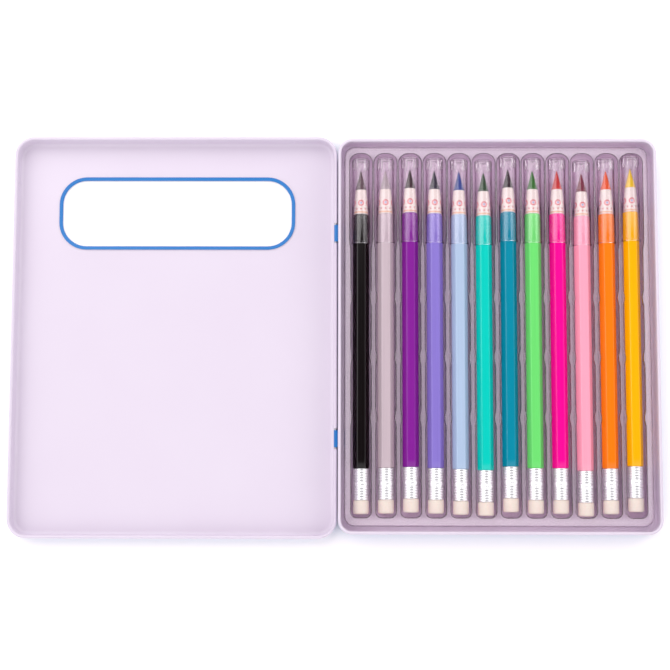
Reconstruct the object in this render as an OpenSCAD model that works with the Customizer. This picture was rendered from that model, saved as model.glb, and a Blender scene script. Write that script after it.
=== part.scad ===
// Coloured pencil tin, lying open flat like a book. A tinplate base holds a clear
// tray with twelve capped pencils, and a shallow lid with a long window hinges on
// the base's left wall.
// X runs across the pencils, away from the hinge. Y runs along the pencils, towards
// their points. Z is up. The origin is the centre of the base's underside.

/* [Barrel] */
// Width of a barrel across its rounded corners
barrel_d = 8.0; // [7:0.1:9.5]
// Depth that each of the six flats is cut below the round
flat_cut = 0.2; // [0.05:0.05:0.35]
// Length of a barrel between its collar and its ferrule
barrel_l = 124.8; // [100:0.2:150]
// Length of the tenon at the back of a barrel, inside the ferrule
tenon_l = 5.0; // [3:0.5:6]

/* [Collar and nib] */
// Step from the barrel down to the white collar
collar_step = 0.55; // [0.2:0.05:0.6]
// Length of the collar
collar_l = 12.2; // [9:0.1:15]
// Length of the collar's tapered front
collar_taper_l = 6.4; // [4:0.1:9]
// Width of the nib where it leaves the collar
nib_d = 5.2; // [4.6:0.1:5.6]
// Width of the collar's rim around the nib
collar_rim = 0.15; // [0.1:0.05:0.3]
// Length of the nib's cone
nib_l = 9.4; // [7:0.1:12]
// Width of the nib's blunt point
nib_point_d = 0.5; // [0.3:0.1:1]
// Diameter of the shank that plugs the nib into the barrel
shank_d = 3.6; // [2.6:0.1:4]
// Length of the shank inside the barrel
shank_grip = 6.0; // [3:0.5:12]

/* [Ferrule and eraser] */
// Outer diameter of the ferrule's tube
ferrule_d = 7.4; // [6.9:0.1:7.8]
// Thickness of the ferrule's metal
ferrule_wall = 0.25; // [0.2:0.05:0.4]
// Length of the ferrule
ferrule_l = 15.3; // [13:0.1:18]
// Height of the ferrule's middle band above its tube
band_rise = 0.3; // [0.1:0.05:0.4]
// Length of the middle band
band_l = 2.8; // [2:0.1:4]
// Number of pressed rings on each side of the band
ring_count = 5; // [2:1:6]
// Height of each ring above the tube
ring_rise = 0.12; // [0.05:0.01:0.2]
// Length of each ring
ring_l = 0.6; // [0.4:0.1:0.8]
// Diameter of the eraser
eraser_d = 7.7; // [7.4:0.1:8]
// Length of eraser that stands out of the ferrule
eraser_l = 6.7; // [4:0.1:9]
// Length of eraser held inside the ferrule
eraser_grip = 4.0; // [2:0.5:6]
// Radius round the eraser's end
eraser_round = 0.9; // [0.3:0.1:1.5]
// Gap all round a glued plug, shank or tenon
glue_room = 0.05; // [0.03:0.01:0.08]

/* [Cap] */
// Wall of the clear cap where it grips the barrel
cap_wall = 0.45; // [0.35:0.05:0.7]
// Length of barrel that the cap covers
cap_cover = 14.6; // [8:0.2:25]
// Space between the nib's point and the cap's end
cap_over = 6.5; // [5.5:0.1:10]
// Distance from the barrel's shoulder to the ledge inside the cap
ledge_gap = 2.8; // [1.5:0.1:5]
// Height of the ledge where the cap's bore narrows
ledge_rise = 0.3; // [0.1:0.05:0.4]
// Thickness of the cap's closed end
cap_end = 1.0; // [0.6:0.1:1.5]
// Radius round the cap's closed end
cap_round = 1.2; // [0.5:0.1:1.6]
// Height of the bead round the cap's lip
lip_rise = 0.1; // [0.05:0.05:0.2]
// Length of the lip bead
lip_l = 0.8; // [0.5:0.1:1.5]
// Number of stiffening ribs inside the closed end
cap_rib_count = 8; // [4:1:12]
// Length of the ribs
cap_rib_l = 4.5; // [2:0.5:4.5]
// Thickness of the ribs
cap_rib_t = 0.5; // [0.3:0.1:0.8]

/* [Tray] */
// Number of pencils side by side
pencil_count = 12; // [12]
// Thickness of the clear sheet
tray_t = 0.35; // [0.25:0.05:0.5]
// Gap between a barrel and each side of its channel
barrel_room = 0.85; // [0.7:0.05:1.2]
// Width of the ridge between two barrels
ridge_w = 2.4; // [2.2:0.1:4]
// Gap between a cap and each side of its channel
cap_room = 1.0; // [0.5:0.05:1.1]
// Gap under a barrel and under a cap, which the pencil's own spring takes up
seat_gap = 0.3; // [0.2:0.05:0.5]
// Gap beyond the end of the furthest pencil, at each end of a channel
end_room = 0.65; // [0.4:0.05:2]
// Length of wider channel behind the cap's lip
lip_room = 3.0; // [2:0.5:6]
// Height of the tray's flange above the tin's floor
flange_h = 9.0; // [7.5:0.1:10]
// Flange between the outer channels and the tray's edge
side_border = 2.4; // [1.5:0.1:6]
// Flange beyond the channels at the points' end
nib_border = 3.8; // [2.5:0.1:8]
// Flange beyond the channels at the erasers' end
eraser_border = 4.6; // [2.5:0.1:8]
// Corner radius of the flange
tray_corner_r = 5.5; // [3:0.5:7]
// Corner radius at the ends of each channel, seen from above
channel_end_r = 2.6; // [1:0.1:3.5]
// Radius along the foot of each channel's walls
channel_foot_r = 2.4; // [1:0.1:3]
// Number of retaining bumps on each side of a channel
nub_count = 3; // [1:1:4]
// Spacing of the bumps
nub_pitch = 29.4; // [20:0.2:32]
// Place of the middle of the row of bumps, from the barrel's own middle
nub_shift = -8.8; // [-12:0.2:0]
// Length of each bump along the channel
nub_l = 8.0; // [5:0.5:12]
// How far each bump reaches into the channel
nub_rise = 0.45; // [0.2:0.05:0.5]
// How far the tray sits towards the points in its play
tray_shift = 0.5; // [-0.8:0.1:0.8]

/* [Tin] */
// Thickness of the tinplate
sheet = 0.3; // [0.2:0.05:0.4]
// Diameter of the rolled hem round each rim
hem_d = 1.5; // [1.4:0.05:1.9]
// Gap between the tray's flange and the base's rolled hem
tray_gap = 1.25; // [0.9:0.05:3]
// Height of the base's rim
base_h = 15.4; // [13.5:0.1:22]
// Corner radius of the base, seen from above
corner_r = 7.0; // [6:0.5:12]
// Radius between floor and walls, outside
floor_r = 2.2; // [1.5:0.1:3]

/* [Lid] */
// Gap between the closed lid's panel and the base's rim
lid_gap = 0.5; // [0.3:0.1:2]
// Gap between the closed lid and each side of the base
side_gap = 0.9; // [0.7:0.05:1.5]
// Gap between the closed lid and the front of the base
front_gap = 0.6; // [0.55:0.05:1.2]
// Length of the window across the lid
window_l = 114.0; // [80:1:130]
// Width of the window
window_w = 33.0; // [26:0.5:45]
// Corner radius of the window
window_r = 12.0; // [5:0.5:13]
// Distance from the lid's wall at the points' end to the window
window_gap = 18.9; // [5:0.1:40]
// Width of the folded hem round the window
window_hem_w = 1.75; // [1.2:0.05:3]
// Height of that hem above the lid's outer face
window_hem_h = 0.85; // [0.8:0.05:1.4]

/* [Hinge and catches] */
// Gap between the lid's hem and the base's wall
hinge_gap = 0.45; // [0.3:0.05:1]
// Distance of each hinge from the middle of the tin
hinge_y = 50.4; // [25:0.2:65]
// Length of a hinge slot in the lid's hem
slot_l = 10.0; // [9:0.5:16]
// Depth of the slot below the hinge axis
slot_depth = 1.4; // [1.2:0.1:2]
// Length of the base's rolled knuckle
knuckle_l = 8.2; // [5:0.1:8.4]
// Running clearance round a hinge pin
pin_clear = 0.06; // [0.03:0.01:0.1]
// Length of pin held in the hem on each side of the slot
pin_grip = 4.0; // [2:0.5:8]
// Height of the window left in the base's wall by the lanced tongue
lance_h = 5.0; // [3:0.1:5]
// Distance of each front catch from the middle of the tin
catch_y = 75.5; // [20:0.5:80]
// Height of the front catches above the base's underside
catch_z = 11.5; // [10.5:0.1:12]
// Radius of a pressed catch or dimple
catch_r = 1.6; // [1.2:0.1:2]
// How far a catch stands out of its wall
catch_rise = 0.4; // [0.2:0.05:0.45]
// Distance of the lid's side dimples from the hinge
dimple_x = 21.5; // [12:0.5:60]

/* [Colours] */
// Lacquer on the inside of the tin
inside_colour = "#e3d6ee";
// Hinge pins
pin_colour = "#b9bcc2";
// Clear plastic of the tray and caps
clear_colour = "#e9e2ee";
// White plastic collars
collar_colour = "#f6f1f0";

/* [Hidden] */
$fn = 72;
BARREL_COLOURS = [
    "#141013", "#d2c5cb", "#8e26a2", "#9282da", "#b8cce8", "#00d8c8",
    "#0096af", "#76e876", "#ff00a0", "#fcaccc", "#ff801c", "#ffc600"
];
// How far each pencil lies towards the points, as it was dropped into its channel
STAGGER = [-0.3, 0, 0.5, 0, -0.5, -1.0, 0.8, 0, 0, -1.2, -0.1, 1.0];
PENCIL_PARTS = ["barrel", "nose", "cap", "eraser_end"];

function pencil_node(i, p) = str("pencil_", i < 9 ? "0" : "", i + 1, "_", p);

cut = 1; // how far a cutting tool runs past the face that it opens
floor_lap = 1; // how far a bent wall's section runs into the floor that it is one sheet with

// Stations along a pencil, from the end of its eraser
s_ferrule = eraser_l;
s_barrel = s_ferrule + ferrule_l;
s_collar = s_barrel + barrel_l;
s_nib = s_collar + collar_l;
s_tip = s_nib + nib_l;
pencil_l = s_tip + cap_over;
s_lip = s_collar - cap_cover;
collar_d = barrel_d - 2 * collar_step;
ferrule_bore_d = ferrule_d - 2 * ferrule_wall;
cap_d = barrel_d + 2 * cap_wall;
shoulder_bore_d = barrel_d - 2 * ledge_rise;

// Channels and tray
channel_w = barrel_d + 2 * barrel_room;
cap_channel_w = cap_d + 2 * lip_rise + 2 * cap_room;
pitch = channel_w + ridge_w;
stagger_max = max(STAGGER);
stagger_min = min(STAGGER);
channel_l = pencil_l + stagger_max - stagger_min + 2 * end_room;
tray_w = pencil_count * pitch + 2 * side_border;
tray_l = channel_l + nib_border + eraser_border;
channel_y0 = tray_shift - tray_l / 2 + eraser_border;
pencil_y0 = channel_y0 + end_room - stagger_min;
flange_z = sheet + flange_h;
axis_z = sheet + 2 * tray_t + seat_gap + lip_rise + cap_d / 2;
nub_r = (pow(nub_l / 2, 2) + pow(nub_rise, 2)) / (2 * nub_rise);
nub_mid_y = pencil_y0 + s_barrel + barrel_l / 2 + nub_shift;
cap_zone_y = pencil_y0 + stagger_min + s_lip - lip_room;

// Tin, hinge and lid
hem_r = hem_d / 2;
base_w = tray_w + 2 * max(tray_gap + hem_d, floor_r);
base_l = tray_l + 2 * max(tray_gap + hem_d, floor_r + abs(tray_shift));
hinge_z = (base_h + lid_gap + sheet) / 2;
hinge_x = -(base_w / 2 + hinge_gap + hem_r);
pin_r = hem_r - sheet;
knuckle_r = pin_r + pin_clear + sheet;
lid_w = base_w + front_gap + hinge_gap;
lid_l = base_l + 2 * side_gap;
lid_corner_r = corner_r + side_gap;
lid_x = hinge_x - hem_r - lid_w / 2;
window_y = lid_l / 2 - window_gap - window_w / 2;
fold_r = window_hem_h / 2;

function pencil_x(i) = (i - (pencil_count - 1) / 2) * pitch;

// ---- Outlines and sheet-metal profiles ----

// Rectangle with rounded corners, seen from above
module rounded_plan(w, l, r) {
    square([w - 2 * r, l], center = true);
    square([w, l - 2 * r], center = true);
    for (sx = [-1, 1], sy = [-1, 1])
        translate([sx * (w / 2 - r), sy * (l / 2 - r)])
            circle(r);
}

// Runs a profile round a rounded rectangle: its x is the distance outwards, its y is height
module swept_round(w, l, r) {
    for (side = [0 : 3]) {
        run = side % 2 == 0 ? l : w;
        reach = side % 2 == 0 ? w / 2 : l / 2;
        rotate([0, 0, 90 * side]) {
            translate([reach, 0, 0])
                rotate([90, 0, 0])
                    linear_extrude(run - 2 * r, center = true)
                        children();
            translate([reach - r, run / 2 - r, 0])
                rotate_extrude(angle = 90)
                    translate([r, 0])
                        children();
        }
    }
}

// Room inside a bent sheet, drawn in by inset: x = 0 is the wall's outer face and y is height
module bend_region(inset, lap, h) {
    translate([-floor_r - lap, inset])
        square([lap, h - inset]);
    translate([-floor_r - lap, floor_r])
        square([floor_r + lap - inset, h - floor_r]);
    intersection() {
        translate([-floor_r, floor_r])
            circle(floor_r - inset);
        translate([-floor_r - lap, 0])
            square([floor_r + lap, 2 * floor_r]);
    }
}

// Sheet bent up from a floor into a wall of height h, whose outer face is x = 0
module bent_sheet(h) {
    difference() {
        bend_region(0, floor_lap, h);
        bend_region(sheet, floor_lap + cut, h + cut);
    }
}

// Rolled hem, seen end on
module hem_ring() {
    difference() {
        circle(hem_r);
        circle(hem_r - sheet);
    }
}

// Pressed boss of a wall whose outer face is x = 0
module boss() {
    intersection() {
        translate([catch_rise - catch_r, 0, 0])
            rotate([0, 0, 180])
                sphere(catch_r);
        translate([-sheet, -catch_r, -catch_r])
            cube([sheet + catch_rise, 2 * catch_r, 2 * catch_r]);
    }
}

// The hollow behind a pressed boss
module boss_hollow() {
    translate([catch_rise - catch_r, 0, 0])
        rotate([0, 0, 180])
            sphere(catch_r - sheet);
}

// ---- Base ----

module base_profile() {
    bent_sheet(base_h - hem_r);
    translate([-hem_r, base_h - hem_r])
        hem_ring();
}

// Tongue lanced from the base's wall and rolled round the hinge pin
module hinge_tongue() {
    difference() {
        union() {
            rotate([90, 0, 0])
                cylinder(h = knuckle_l, r = knuckle_r, center = true);
            translate([0, -knuckle_l / 2, knuckle_r - sheet])
                cube([hem_r + hinge_gap + sheet / 2, knuckle_l, sheet]);
        }
        rotate([90, 0, 0])
            cylinder(h = knuckle_l + cut, r = knuckle_r - sheet, center = true);
    }
}

module base_shell() {
    color(inside_colour)
        difference() {
            union() {
                swept_round(base_w, base_l, corner_r)
                    base_profile();
                linear_extrude(sheet)
                    rounded_plan(base_w - 2 * floor_r, base_l - 2 * floor_r, corner_r - floor_r);
                for (sy = [-1, 1]) {
                    translate([hinge_x, sy * hinge_y, hinge_z])
                        hinge_tongue();
                    translate([base_w / 2, sy * catch_y, catch_z])
                        boss();
                }
            }
            for (sy = [-1, 1]) {
                translate([base_w / 2, sy * catch_y, catch_z])
                    boss_hollow();
                translate([
                    -base_w / 2 - sheet / 2,
                    sy * hinge_y - knuckle_l / 2,
                    hinge_z + knuckle_r - sheet - lance_h
                ])
                    cube([2 * sheet, knuckle_l, lance_h]);
            }
        }
}

// ---- Lid, drawn open ----

module lid_profile() {
    translate([sheet, 0])
        bent_sheet(hinge_z);
    translate([hem_r, hinge_z])
        hem_ring();
}

// Room inside the folded edge of the window, drawn in by inset; x = 0 is the opening
module fold_region(inset, run) {
    translate([fold_r, fold_r])
        circle(fold_r - inset);
    translate([fold_r, inset])
        square([run - fold_r, window_hem_h - 2 * inset]);
}

// Edge of the window, folded inwards and back over the panel
module window_profile() {
    difference() {
        fold_region(0, window_hem_w);
        fold_region(sheet, window_hem_w + cut);
    }
}

module lid_shell() {
    panel_inset = 2 * (floor_r - sheet);
    color(inside_colour)
        difference() {
            union() {
                translate([lid_x, 0, 0]) {
                    swept_round(lid_w, lid_l, lid_corner_r)
                        lid_profile();
                    linear_extrude(sheet)
                        difference() {
                            rounded_plan(
                                lid_w - panel_inset,
                                lid_l - panel_inset,
                                lid_corner_r - panel_inset / 2
                            );
                            translate([0, window_y])
                                rounded_plan(
                                    window_l + 2 * fold_r,
                                    window_w + 2 * fold_r,
                                    window_r + fold_r
                                );
                        }
                    translate([0, window_y, 0])
                        swept_round(window_l, window_w, window_r)
                            window_profile();
                    for (sy = [-1, 1])
                        translate([-lid_w / 2 - sheet, sy * catch_y, 2 * hinge_z - catch_z])
                            rotate([0, 0, 180])
                                boss();
                }
                for (sy = [-1, 1])
                    translate([hinge_x - dimple_x, sy * lid_l / 2, hinge_z / 2])
                        rotate([0, 0, -90 * sy])
                            boss();
            }
            for (sy = [-1, 1]) {
                translate([lid_x - lid_w / 2 - sheet, sy * catch_y, 2 * hinge_z - catch_z])
                    rotate([0, 0, 180])
                        boss_hollow();
                translate([hinge_x - dimple_x, sy * lid_l / 2, hinge_z / 2])
                    rotate([0, 0, -90 * sy])
                        boss_hollow();
                translate([hinge_x, sy * hinge_y, hinge_z])
                    cube([hem_d + sheet, slot_l, 2 * slot_depth], center = true);
            }
        }
}

module hinge_pin(sy) {
    color(pin_colour)
        translate([hinge_x, sy * hinge_y, hinge_z])
            rotate([90, 0, 0])
                cylinder(h = slot_l + 2 * pin_grip, r = pin_r, center = true);
}

// ---- Clear tray ----

// One stretch of channel from y0 to y1, with its floor at floor_z, grown all round by grow
module channel(w, y0, y1, floor_z, grow, top_z) {
    wall_w = w + 2 * grow;
    foot_r = channel_foot_r + grow;
    end_r = channel_end_r + grow;
    bottom = floor_z - grow;
    intersection() {
        translate([0, y1 + grow, 0])
            rotate([90, 0, 0])
                linear_extrude(y1 - y0 + 2 * grow) {
                    translate([-wall_w / 2, bottom + foot_r])
                        square([wall_w, top_z - bottom - foot_r]);
                    translate([-wall_w / 2 + foot_r, bottom])
                        square([wall_w - 2 * foot_r, foot_r]);
                    for (sx = [-1, 1])
                        translate([sx * (wall_w / 2 - foot_r), bottom + foot_r])
                            circle(foot_r);
                }
        translate([0, (y0 + y1) / 2, 0])
            linear_extrude(top_z)
                rounded_plan(wall_w, y1 - y0 + 2 * grow, end_r);
    }
}

// The channel of one pencil: narrow round the barrel, wide round the cap
module pencil_channel(grow, top_z) {
    channel_y1 = channel_y0 + channel_l;
    channel(channel_w, channel_y0, cap_zone_y + 2 * channel_end_r + tray_t,
        axis_z - barrel_d / 2 - seat_gap, grow, top_z);
    channel(cap_channel_w, cap_zone_y, channel_y1,
        axis_z - cap_d / 2 - lip_rise - seat_gap, grow, top_z);
}

// Bumps that stand into a channel over the sides of its barrel
module nubs() {
    for (k = [0 : nub_count - 1], sx = [-1, 1])
        translate([
            sx * (channel_w / 2 - nub_rise + nub_r),
            nub_mid_y + (k - (nub_count - 1) / 2) * nub_pitch,
            axis_z
        ])
            cylinder(h = flange_z - axis_z + 2 * cut, r = nub_r);
}

module clear_tray() {
    color(clear_colour)
        difference() {
            union() {
                translate([0, tray_shift, 0]) {
                    translate([0, 0, flange_z - tray_t])
                        linear_extrude(tray_t)
                            rounded_plan(tray_w, tray_l, tray_corner_r);
                    translate([0, 0, sheet])
                        linear_extrude(flange_h)
                            difference() {
                                rounded_plan(tray_w, tray_l, tray_corner_r);
                                rounded_plan(
                                    tray_w - 2 * tray_t,
                                    tray_l - 2 * tray_t,
                                    tray_corner_r - tray_t
                                );
                            }
                }
                for (i = [0 : pencil_count - 1])
                    translate([pencil_x(i), 0, 0])
                        pencil_channel(tray_t, flange_z);
            }
            for (i = [0 : pencil_count - 1])
                translate([pencil_x(i), 0, 0])
                    difference() {
                        pencil_channel(0, flange_z + cut);
                        nubs();
                    }
        }
}

// ---- Pencils ----

// Places pencil i: its axis is drawn along z, from the end of its eraser
module on_axis(i) {
    translate([pencil_x(i), pencil_y0 + STAGGER[i], axis_z])
        rotate([-90, 0, 0])
            children();
}

// Round bar with its far edge rounded off
module rounded_bar(d, h, r) {
    rotate_extrude() {
        square([d / 2 - r, h]);
        square([d / 2, h - r]);
        translate([d / 2 - r, h - r])
            circle(r);
    }
}

// Rounded-hexagon barrel with a tenon for the ferrule and a socket for the nib
module pencil_barrel(i) {
    flats_r = (barrel_d / 2 - flat_cut) / cos(30);
    color(BARREL_COLOURS[i])
        on_axis(i)
            difference() {
                union() {
                    translate([0, 0, s_barrel])
                        intersection() {
                            cylinder(h = barrel_l, d = barrel_d);
                            cylinder(h = barrel_l, r = flats_r, $fn = 6);
                        }
                    translate([0, 0, s_barrel - tenon_l])
                        cylinder(h = tenon_l + cut, d = ferrule_bore_d - 2 * glue_room);
                }
                translate([0, 0, s_collar - shank_grip - cut])
                    cylinder(h = shank_grip + 2 * cut, d = shank_d + 2 * glue_room);
            }
}

// White tapered collar, and the coloured nib that plugs through it into the barrel
module pencil_nose(i) {
    color(collar_colour)
        on_axis(i) {
            translate([0, 0, s_collar])
                difference() {
                    union() {
                        cylinder(h = collar_l - collar_taper_l, d = collar_d);
                        translate([0, 0, collar_l - collar_taper_l])
                            cylinder(h = collar_taper_l, d1 = collar_d, d2 = nib_d + 2 * collar_rim);
                    }
                    translate([0, 0, -cut])
                        cylinder(h = collar_l + 2 * cut, d = shank_d + 2 * glue_room);
                }
            translate([0, 0, s_nib])
                cylinder(h = nib_l, d1 = nib_d, d2 = nib_point_d);
            translate([0, 0, s_collar - shank_grip])
                cylinder(h = collar_l + shank_grip, d = shank_d);
        }
}

// Clear push-on cap with a beaded lip, an inner ledge and a ribbed end
module pencil_cap(i) {
    cap_l = pencil_l - s_lip;
    bore_l = cap_cover + ledge_gap;
    rib_h = barrel_d / 8;
    color(clear_colour, 0.5)
        on_axis(i)
            translate([0, 0, s_lip]) {
                difference() {
                    union() {
                        rounded_bar(cap_d, cap_l, cap_round);
                        cylinder(h = lip_l, d = cap_d + 2 * lip_rise);
                    }
                    translate([0, 0, -cut])
                        cylinder(h = bore_l + cut, d = barrel_d);
                    translate([0, 0, bore_l - cut])
                        cylinder(h = cap_l - bore_l - cap_end + cut, d = shoulder_bore_d);
                }
                for (k = [0 : cap_rib_count - 1])
                    rotate([0, 0, k * 360 / cap_rib_count])
                        translate([
                            shoulder_bore_d / 2 - rib_h,
                            -cap_rib_t / 2,
                            cap_l - cap_end - cap_rib_l
                        ])
                            cube([rib_h + ledge_rise / 2, cap_rib_t, cap_rib_l + cap_end / 2]);
            }
}

// Ferrule with a middle band and pressed rings
module ferrule() {
    ring_run = (ferrule_l - band_l) / 2;
    difference() {
        union() {
            cylinder(h = ferrule_l, d = ferrule_d);
            translate([0, 0, ring_run])
                cylinder(h = band_l, d = ferrule_d + 2 * band_rise);
            for (k = [0 : ring_count - 1], side = [0, 1])
                translate([
                    0,
                    0,
                    side * (ring_run + band_l) + (k + 0.5) * ring_run / ring_count - ring_l / 2
                ])
                    cylinder(h = ring_l, d = ferrule_d + 2 * ring_rise);
        }
        translate([0, 0, -cut])
            cylinder(h = ferrule_l + 2 * cut, d = ferrule_bore_d);
    }
}

// Ferrule and eraser, which stay together as the pencil's back end
module pencil_eraser_end(i) {
    color(pin_colour)
        on_axis(i) {
            translate([0, 0, s_ferrule])
                ferrule();
            translate([0, 0, s_ferrule])
                mirror([0, 0, 1])
                    rounded_bar(eraser_d, eraser_l, eraser_round);
            translate([0, 0, s_ferrule])
                cylinder(h = eraser_grip, d = ferrule_bore_d - 2 * glue_room);
        }
}

base_shell();
lid_shell();
hinge_pin(1);  // hinge_pin_upper
hinge_pin(-1);  // hinge_pin_lower
clear_tray();
for (i = [0 : pencil_count - 1]) {
    pencil_barrel(i);
    pencil_nose(i);
    pencil_cap(i);
    pencil_eraser_end(i);
}
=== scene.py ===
"""A coloured pencil tin lying open: twelve capped pencils in a clear tray, in a base of
printed tinplate, with a windowed lid hinged on its left. Sizes are written in millimetres
and turned to metres where points are made."""

import math

import bmesh
import bpy
from mathutils import Matrix, Vector


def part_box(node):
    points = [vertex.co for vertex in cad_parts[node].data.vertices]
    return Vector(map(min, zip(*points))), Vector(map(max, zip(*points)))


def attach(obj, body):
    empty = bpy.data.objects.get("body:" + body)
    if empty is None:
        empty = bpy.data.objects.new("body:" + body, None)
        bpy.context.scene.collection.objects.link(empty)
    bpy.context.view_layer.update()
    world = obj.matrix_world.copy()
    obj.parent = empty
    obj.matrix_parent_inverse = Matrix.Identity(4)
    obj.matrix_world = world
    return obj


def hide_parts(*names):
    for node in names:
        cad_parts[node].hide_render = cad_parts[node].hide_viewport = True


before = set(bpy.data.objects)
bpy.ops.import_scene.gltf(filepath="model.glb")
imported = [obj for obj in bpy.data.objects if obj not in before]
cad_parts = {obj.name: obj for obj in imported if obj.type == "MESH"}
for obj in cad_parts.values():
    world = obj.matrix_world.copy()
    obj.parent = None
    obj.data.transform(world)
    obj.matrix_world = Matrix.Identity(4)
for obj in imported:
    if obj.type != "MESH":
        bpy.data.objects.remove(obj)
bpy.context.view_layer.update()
MM = 0.001

# ---- Camera ----
# A camera on a copy stand over the open tin. It looks almost straight down and leans a
# little towards the erasers.
camera_reach = 700 * MM
camera_aim = Vector((-79.26, 0.17, 8.0)) * MM
camera_lean, camera_turn, camera_roll = 0.1, 0.00635, 0.00194
focal_px, frame_px = 1432.8, 670


def new_object(name, data):
    """Makes an object and puts it in the scene."""
    made = bpy.data.objects.new(name, data)
    bpy.context.scene.collection.objects.link(made)
    return made


camera_data = bpy.data.cameras.new("Copy Stand Camera")
camera_data.sensor_width = 36
camera_data.lens = camera_data.sensor_width * focal_px / frame_px
camera = new_object("Copy Stand Camera", camera_data)
bpy.context.scene.camera = camera
back = Vector(
    (
        math.sin(camera_turn) * math.cos(camera_lean),
        -math.sin(camera_lean),
        math.cos(camera_turn) * math.cos(camera_lean),
    ),
)
right = Vector((0, 1, 0)).cross(back).normalized()
up = back.cross(right)
rolled_right = math.cos(camera_roll) * right + math.sin(camera_roll) * up
rolled_up = math.cos(camera_roll) * up - math.sin(camera_roll) * right
camera.matrix_world = (
    Matrix.Translation(camera_aim + camera_reach * back)
    @ Matrix((rolled_right, rolled_up, back)).transposed().to_4x4()
)

# ---- Studio ----
# A white sweep of thin matt paper that glows a little, a painted light, under a light tent with
# four soft lights. The tent has a dark opening overhead, where the camera looks through, so flat
# gloss mirrors dark and curved gloss white.


def add(tree, kind, inputs=None, **settings):
    """Adds a node to a tree. inputs gives its sockets a value, another node's output, or a
    node, which stands for its first output."""
    node = tree.nodes.new(kind)
    for name, value in settings.items():
        setattr(node, name, value)
    for socket, value in (inputs or {}).items():
        if isinstance(value, bpy.types.Node):
            value = value.outputs[0]
        if isinstance(value, bpy.types.NodeSocket):
            tree.links.new(value, node.inputs[socket])
        else:
            node.inputs[socket].default_value = value
    return node


def srgb(colour):
    """Linear colour of an sRGB hex value such as #e3d6ee."""
    parts = [int(colour[i : i + 2], 16) / 255 for i in (1, 3, 5)]
    return (*(p / 12.92 if p <= 0.04045 else ((p + 0.055) / 1.055) ** 2.4 for p in parts), 1)


def new_finish(name):
    """An empty material of that name, and its node tree."""
    material = bpy.data.materials.new(name)
    material.use_nodes = True
    material.node_tree.nodes.clear()
    return material, material.node_tree


def grain(tree, spacing, detail=2, chart=None):
    """Noise whose marks are that many millimetres apart along X, Y and Z of the piece. On a
    chart of a round piece, X is in turns."""
    if chart:
        place, unit = add(tree, "ShaderNodeUVMap", uv_map=chart), 1
    else:
        place, unit = add(tree, "ShaderNodeTexCoord").outputs["Object"], MM
    scale = [1 / (step * unit) for step in spacing]
    spread = add(tree, "ShaderNodeMapping", {"Vector": place, "Scale": scale})
    return add(tree, "ShaderNodeTexNoise", {"Vector": spread, "Scale": 1.0, "Detail": detail})


bpy.context.scene.view_settings.view_transform = "Standard"
bpy.context.scene.cycles.transparent_max_bounces = 40  # light crosses many clear walls

tent_light = 1.0
opening_w, opening_l = 0.48, 0.26  # half size of the opening, as a share of the tent's radius
opening_x, opening_y = 0.12, 0.06
world = bpy.data.worlds.new("Light Tent")
bpy.context.scene.world = world
world.use_nodes = True
world.node_tree.nodes.clear()
tree = world.node_tree
direction = add(tree, "ShaderNodeTexCoord")
flattened = add(
    tree,
    "ShaderNodeMapping",
    {
        "Vector": direction.outputs["Generated"],
        "Location": (-opening_x / opening_w, -opening_y / opening_l, 0),
        "Scale": (1 / opening_w, 1 / opening_l, 0),
    },
)
from_middle = add(tree, "ShaderNodeVectorMath", {0: flattened}, operation="LENGTH")
height = add(tree, "ShaderNodeSeparateXYZ", {0: direction.outputs["Generated"]})
overhead = add(tree, "ShaderNodeMath", {0: height.outputs["Z"], 1: 0.0}, operation="GREATER_THAN")
opening = add(
    tree,
    "ShaderNodeMapRange",
    {"Value": from_middle.outputs["Value"], "From Min": 1.1, "From Max": 0.75},
    interpolation_type="SMOOTHSTEP",
)
opening = add(tree, "ShaderNodeMath", {0: opening, 1: overhead}, operation="MULTIPLY")
opening = add(tree, "ShaderNodeMapRange", {"Value": opening, "To Min": tent_light, "To Max": 0.02})
tent = add(tree, "ShaderNodeBackground", {"Color": srgb("#fffcff"), "Strength": opening})
add(tree, "ShaderNodeOutputWorld", {"Surface": tent})

for name, place, size, power, colour in (
    ("Back Left Softbox", (-420, 360, 640), 800, 2.5, "#fffefd"),
    ("Back Right Softbox", (480, 420, 520), 500, 1.1, "#fffdfd"),
    ("Front Left Softbox", (-520, -480, 560), 500, 0.7, "#fffdfd"),
    ("Front Right Softbox", (540, -420, 540), 500, 0.45, "#fffdfd"),
):
    light_data = bpy.data.lights.new(name, "AREA")
    light_data.size = size * MM
    light_data.energy = power
    light_data.color = srgb(colour)[:3]
    light = new_object(name, light_data)
    light.location = Vector(place) * MM
    light.visible_camera = False
    light.rotation_euler = Vector(place).to_track_quat("Z", "Y").to_euler()

paper_size = 6000
paper_drop = 0.05  # the tin's underside and the paper don't share a plane
paper_mesh = bpy.data.meshes.new("Paper Sweep")
paper_mesh.from_pydata(
    [
        (sx * paper_size * MM / 2, sy * paper_size * MM / 2, -paper_drop * MM)
        for sx, sy in ((-1, -1), (1, -1), (1, 1), (-1, 1))
    ],
    [],
    [(0, 1, 2, 3)],
)
paper = new_object("Paper Sweep", paper_mesh)
paper_finish, tree = new_finish("Matt White Paper With Painted Glow")
# Fibres clump about 1.1 mm apart
fibres = grain(tree, [1 / 0.9] * 3, detail=3)
tone = add(
    tree, "ShaderNodeMix", {"Factor": fibres, 6: srgb("#fcf6f4"), 7: srgb("#fffaf8")}, data_type="RGBA"
)
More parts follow.
